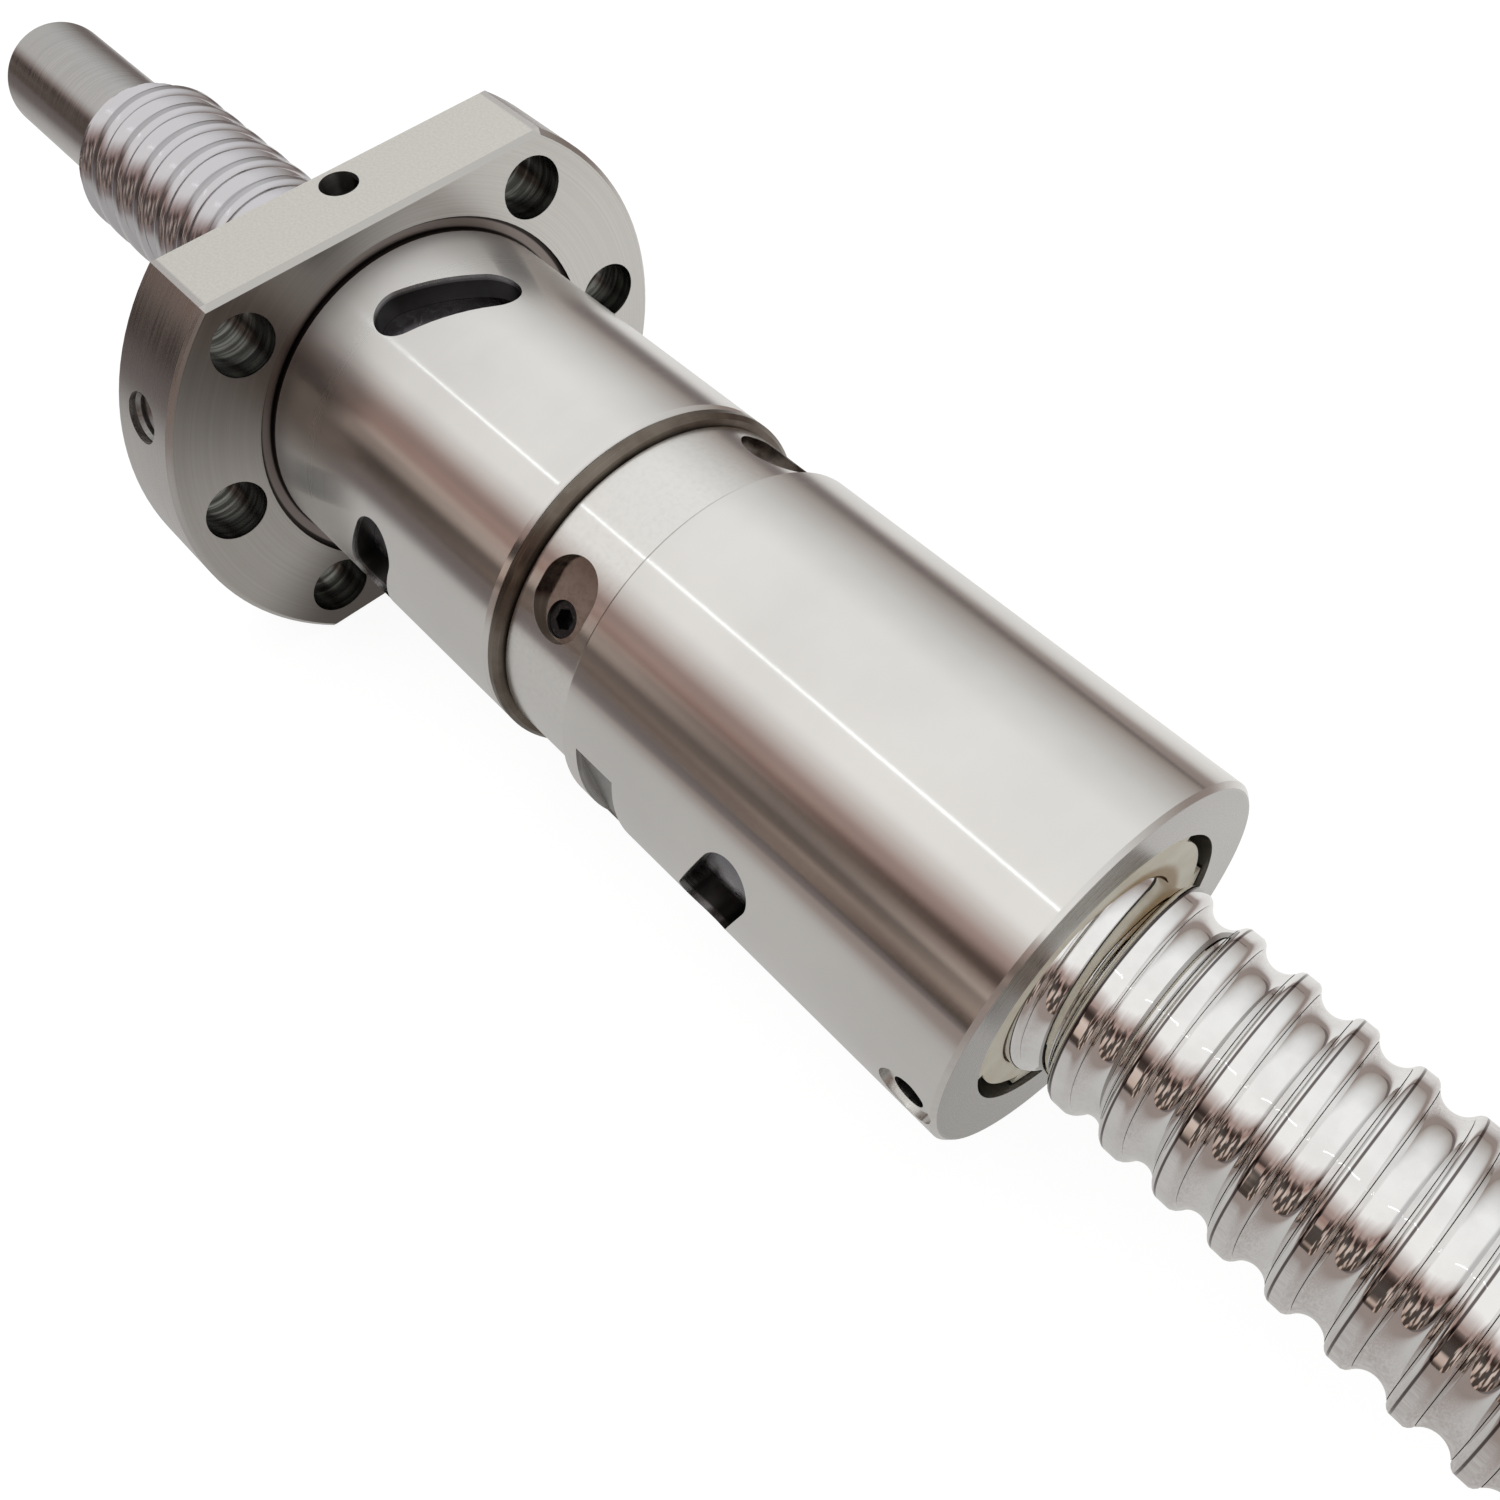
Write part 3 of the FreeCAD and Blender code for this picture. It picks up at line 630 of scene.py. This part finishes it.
def screw():
    """The screw: one turn of its thread, spun and repeated along the axis, and its plain end."""
    bm = bmesh.new()
    first_x = LAND_X - LEAD / 2 + LEAD * (math.floor(THREAD_BACK_X / LEAD) - 1)
    row = [bm.verts.new((first_x + x, r, 0)) for x, r in pitch_profile()]
    line = [bm.edges.new(pair) for pair in zip(row, row[1:])]
    bmesh.ops.spin(bm, geom=row + line, angle=2 * math.pi, steps=STEPS_PER_TURN, axis=(1, 0, 0),
                   cent=(0, 0, 0), dvec=(LEAD / STEPS_PER_TURN, 0, 0))
    one_turn = bm.verts[:] + bm.edges[:] + bm.faces[:]
    for i in range(1, math.ceil((THREAD_FRONT_X - first_x) / LEAD) + 1):
        copy = bmesh.ops.duplicate(bm, geom=one_turn)["geom"]
        moved = [v for v in copy if isinstance(v, bmesh.types.BMVert)]
        bmesh.ops.translate(bm, verts=moved, vec=(i * LEAD, 0, 0))
    bmesh.ops.remove_doubles(bm, verts=bm.verts, dist=SAME_CORNER)
    chamfered_ends(bm)
    outline = [(THREAD_BACK_X + JOURNAL_ROOT, JOURNAL_R),
               (JOURNAL_END_X + JOURNAL_CHAMFER, JOURNAL_R),
               (JOURNAL_END_X, JOURNAL_R - JOURNAL_CHAMFER)]
    journal = [bm.verts.new((x, r, 0)) for x, r in outline]
    edges = [bm.edges.new(pair) for pair in zip(journal, journal[1:])]
    bmesh.ops.spin(bm, geom=journal + edges, angle=2 * math.pi, steps=2 * STEPS_PER_TURN,
                   axis=(1, 0, 0), cent=(0, 0, 0), use_merge=True)
    for end_x in (THREAD_BACK_X + JOURNAL_ROOT, JOURNAL_END_X):
        close_end(bm, end_x)
    bmesh.ops.recalc_face_normals(bm, faces=bm.faces)
    piece = mesh_object("ball_screw", bm)
    smooth(piece, THREAD_SHARP_DEG)
    piece.data.materials.append(thread_steel())
    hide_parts("screw_shaft")
    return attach(piece, "screw")


def finished_copy(frame, node, body, material, round_radii=()):
    """A node's own shape, joined up and shaded as one skin, with true normals where it is turned."""
    bm = bmesh.new()
    bm.from_mesh(frame["nodes"][node].data)
    bmesh.ops.remove_doubles(bm, verts=bm.verts, dist=SAME_CORNER_M)
    mesh = bpy.data.meshes.new(node + "_finished")
    bm.to_mesh(mesh)
    bm.free()
    if IMPORTED_NORMALS in mesh.attributes:
        mesh.attributes.remove(mesh.attributes[IMPORTED_NORMALS])
    piece = linked(bpy.data.objects.new(node + "_finished", mesh))
    smooth(piece)
    if round_radii:
        round_normals(mesh, round_radii)
    mesh.materials.clear()
    mesh.materials.append(material)
    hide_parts(node)
    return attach(piece, body)


def round_normals(mesh, radii):
    """Gives every corner that lies on one of the cylinders about the axis its exact outward normal."""
    normals = [Vector(c.vector) for c in mesh.corner_normals]
    flat_enough = math.cos(math.radians(ROUND_DEG))
    for face in mesh.polygons:
        for i in face.loop_indices:
            at = mesh.vertices[mesh.loops[i].vertex_index].co
            radius = math.hypot(at.y, at.z)
            if min(abs(radius / MM - r) for r in radii) > ROUND_MARGIN:
                continue
            outward = Vector((0, at.y, at.z)) / radius
            if face.normal.dot(outward) > flat_enough:
                normals[i] = outward
    mesh.normals_split_custom_set(normals)


def port_thread():
    """Fine thread in the grease port, a V ridge wound along its wall."""
    bm = bmesh.new()
    half = PORT_THREAD_PITCH * PORT_RIDGE_SHARE
    crest = half * PORT_CREST_SHARE
    foot_r, crest_r = PORT_R - PORT_THREAD_SINK, PORT_R - PORT_THREAD_DEPTH
    ridge = [(-half, foot_r), (-crest, crest_r), (crest, crest_r), (half, foot_r)]
    corners = [bm.verts.new((0, r, x)) for x, r in ridge]
    edges = [bm.edges.new(pair) for pair in zip(corners, corners[1:] + corners[:1])]
    bmesh.ops.spin(bm, geom=corners + edges + [bm.faces.new(corners)],
                   angle=2 * math.pi * PORT_THREAD_TURNS, steps=PORT_STEPS * PORT_THREAD_TURNS,
                   axis=(0, 0, 1), cent=(0, 0, 0), dvec=(0, 0, -PORT_THREAD_PITCH / PORT_STEPS))
    bmesh.ops.recalc_face_normals(bm, faces=bm.faces)
    stand = Matrix.Rotation(math.radians(PORT_DEG - 90), 4, "X")
    outwards = Matrix.Translation((0, 0, PORT_TOP_R - half))
    bm.transform(Matrix.Translation((PORT_X, 0, 0)) @ stand @ outwards)
    piece = mesh_object("port_thread", bm)
    smooth(piece, PORT_SHARP_DEG)
    piece.data.materials.append(key_steel())
    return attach(piece, "nut_assembly")


def nut_pieces(frame):
    """All that stands still with the nuts."""
    nut = "nut_assembly"
    finished_copy(frame, "flanged_nut", nut, flanged_steel(),
                  (BODY_R, FLANGE_R))
    finished_copy(frame, "plain_nut", nut, ground_steel(), (BODY_R,))
    finished_copy(frame, "spacer_collar", nut, collar_steel(), (COLLAR_R,))
    finished_copy(frame, "preload_shim", "preload_ring", shim_steel(), (BODY_R,))
    cream, black, insert, ball = wiper_plastic(), blackened_steel(), insert_steel(), ball_steel()
    for node in sorted(frame["nodes"]):
        if node.endswith("_wiper"):
            finished_copy(frame, node, nut, cream)
        elif "_screw" in node and node != "screw_shaft":
            finished_copy(frame, node, nut, black)
        elif node.startswith("return_insert"):
            finished_copy(frame, node, nut, insert)
        elif node.startswith("ball_circuit"):
            finished_copy(frame, node, nut, ball)
    finished_copy(frame, "locking_key", nut, key_steel())
    port_thread()


# Setting

def pale_floor(top_z):
    """Plain pale floor. In the steel it ends in the brown of the room, as a table top does, and has a
    painted shadow in front of the screw.
    """
    bm = bmesh.new()
    bmesh.ops.create_grid(bm, x_segments=1, y_segments=1, size=FLOOR_SIZE / 2 / MM)
    bmesh.ops.translate(bm, verts=bm.verts, vec=(0, 0, top_z))
    floor = mesh_object("floor", bm)
    f = Finish("pale_floor")
    nodes, links = f.tree.nodes, f.tree.links
    paper = f.noise(f.place, 0.4, 4.0)
    f.wear(f.tint(paper, *PAPER), 0.8, metallic=0.0)
    ray = nodes.new("ShaderNodeLightPath")

    glow = nodes.new("ShaderNodeEmission")
    glow.inputs["Strength"].default_value = FLOOR_GLOW
    seen = nodes.new("ShaderNodeMixShader")
    f.join(f.math("MULTIPLY", ray.outputs["Is Camera Ray"], GLOW_SHARE), seen.inputs[0])
    links.new(f.shader.outputs[0], seen.inputs[1])
    links.new(glow.outputs[0], seen.inputs[2])

    wander = f.spread(paper, -TABLE_EDGE_WANDER, TABLE_EDGE_WANDER)
    far = f.fade(f.math("ADD", f.length(f.x, f.y), wander), *TABLE_EDGE)
    # painted shadow: the floor as the steel mirrors it is darker in front of the screw
    near_tone_with_shadow = f.tint(f.fade(f.y, *FLOOR_NEAR_Y), *FLOOR_NEAR_WITH_SHADOW)
    far_tone = f.tint(f.until(f.x, *FLOOR_BACK_X), *FLOOR_FAR)
    mirrored = nodes.new("ShaderNodeEmission")
    f.join(f.tint(far, near_tone_with_shadow, far_tone), mirrored.inputs["Color"])
    both = nodes.new("ShaderNodeMixShader")
    f.join(f.math("MULTIPLY", ray.outputs["Is Glossy Ray"], MIRRORED_SHARE), both.inputs[0])
    links.new(seen.outputs[0], both.inputs[1])
    links.new(mirrored.outputs[0], both.inputs[2])
    links.new(both.outputs[0], nodes["Material Output"].inputs["Surface"])
    floor.data.materials.append(f.material)


def wall(n, height, stops):
    """Tones of one wall by height."""
    ramp = n.tree.nodes.new("ShaderNodeValToRGB")
    n.join(height, ramp.inputs[0])
    elements = ramp.color_ramp.elements
    while len(elements) < len(stops):
        elements.new(0.5)
    for element, (at, tone) in zip(elements, stops):
        element.position = at
        element.color = (*tone, 1.0)
    return ramp.outputs[0]


def mirrored_room(n, place):
    """Colour and strength of the room as the steel mirrors it, by direction."""
    x, y, z = n.split(place)
    cloud = n.noise(place, *CLOUD, ROOM_ROUGHNESS)
    things = n.noise(place, *THINGS, ROOM_ROUGHNESS)
    wander = n.math("MULTIPLY", n.math("SUBTRACT", cloud, 0.5), WALL_WANDER)
    height = n.math("ADD", n.math("DIVIDE", z, n.length(y, z)), wander)
    low = n.until(height, *THINGS_HEIGHT)
    dark_corner = n.math("MULTIPLY", n.until(height, *DARK_CORNER_HEIGHT),
                         n.until(x, *DARK_CORNER))
    blotches = n.math("MULTIPLY", low, n.fade(things, *THINGS_TONE))
    gain = n.math("MULTIPLY", n.math("ADD", blotches, 1.0),
                  n.math("SUBTRACT", 1.0, dark_corner))
    front = n.vector("SCALE", wall(n, height, FRONT_WALL), scale=gain)
    to_back = n.math("ADD", n.math("MULTIPLY", y, WALL_BLEND), 0.5)
    colour = n.tint(to_back, front, wall(n, height, BACK_WALL))
    return colour, n.fade(x, *DIM_END)


def room():
    """Pale room for the eye. In the steel: a pale ceiling over walls, the darker one in front."""
    world = bpy.data.worlds.new("room")
    bpy.context.scene.world = world
    world.use_nodes = True
    world.node_tree.nodes.clear()
    n = Nodes(world.node_tree)
    nodes, links = n.tree.nodes, n.tree.links
    ray = nodes.new("ShaderNodeLightPath")
    even, mirrored, white = [nodes.new("ShaderNodeBackground") for _ in range(3)]
    even.inputs["Color"].default_value = ROOM_COLOUR
    even.inputs["Strength"].default_value = ROOM_LEVEL
    white.inputs["Color"].default_value = WHITE
    place = nodes.new("ShaderNodeTexCoord").outputs["Generated"]
    for value, socket in zip(mirrored_room(n, place), mirrored.inputs):
        links.new(value, socket)

    shown = even.outputs[0]
    for kind, light in (("Is Glossy Ray", mirrored), ("Is Camera Ray", white)):
        choice = nodes.new("ShaderNodeMixShader")
        links.new(ray.outputs[kind], choice.inputs[0])
        links.new(shown, choice.inputs[1])
        links.new(light.outputs[0], choice.inputs[2])
        shown = choice.outputs[0]
    links.new(shown, nodes.new("ShaderNodeOutputWorld").inputs[0])


def lamp(name, place, size, power, colour, seen_in_steel=True):
    """Rectangular lamp turned to the axis. Its size is along X and across, in metres."""
    light = bpy.data.lights.new(name, "AREA")
    light.shape = "RECTANGLE"
    light.size, light.size_y = size
    light.energy = power
    light.color = colour
    obj = linked(bpy.data.objects.new(name, light))
    obj.location = Vector(place) * MM
    along = Vector((1, 0, 0))
    to_nuts = Vector((0, -place[1], -place[2])).normalized()
    obj.rotation_euler = Matrix((along, (-to_nuts).cross(along), -to_nuts)).transposed().to_euler()
    obj.visible_glossy = seen_in_steel


def camera():
    data = bpy.data.cameras.new("photo_camera")
    data.sensor_width = CAMERA_SENSOR
    data.sensor_fit = "HORIZONTAL"
    data.lens = CAMERA_LENS
    data.shift_x, data.shift_y = CAMERA_SHIFT
    data.clip_start = CAMERA_NEAR
    obj = linked(bpy.data.objects.new("photo_camera", data))
    obj.location = Vector(CAMERA_PLACE) * MM
    obj.rotation_euler = [math.radians(a) for a in CAMERA_TURN_DEG]
    bpy.context.scene.camera = obj


# The part in its setting

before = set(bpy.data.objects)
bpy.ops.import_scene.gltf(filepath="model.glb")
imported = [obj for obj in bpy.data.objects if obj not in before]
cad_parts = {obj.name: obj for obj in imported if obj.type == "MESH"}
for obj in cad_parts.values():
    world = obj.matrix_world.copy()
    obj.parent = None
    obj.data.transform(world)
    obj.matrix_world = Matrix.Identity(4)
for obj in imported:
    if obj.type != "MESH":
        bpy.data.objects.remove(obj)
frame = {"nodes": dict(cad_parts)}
cad_box = [list(corner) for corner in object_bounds()]
nut_pieces(frame)
screw()
pale_floor(cad_box[0][2] / MM)
room()
lamp("strip", STRIP_PLACE, STRIP_SIZE, STRIP_POWER, STRIP_COLOUR)
lamp("softbox", SOFTBOX_PLACE, SOFTBOX_SIZE, SOFTBOX_POWER, SOFTBOX_COLOUR, False)
camera()
bpy.context.scene.view_settings.view_transform = "Standard"
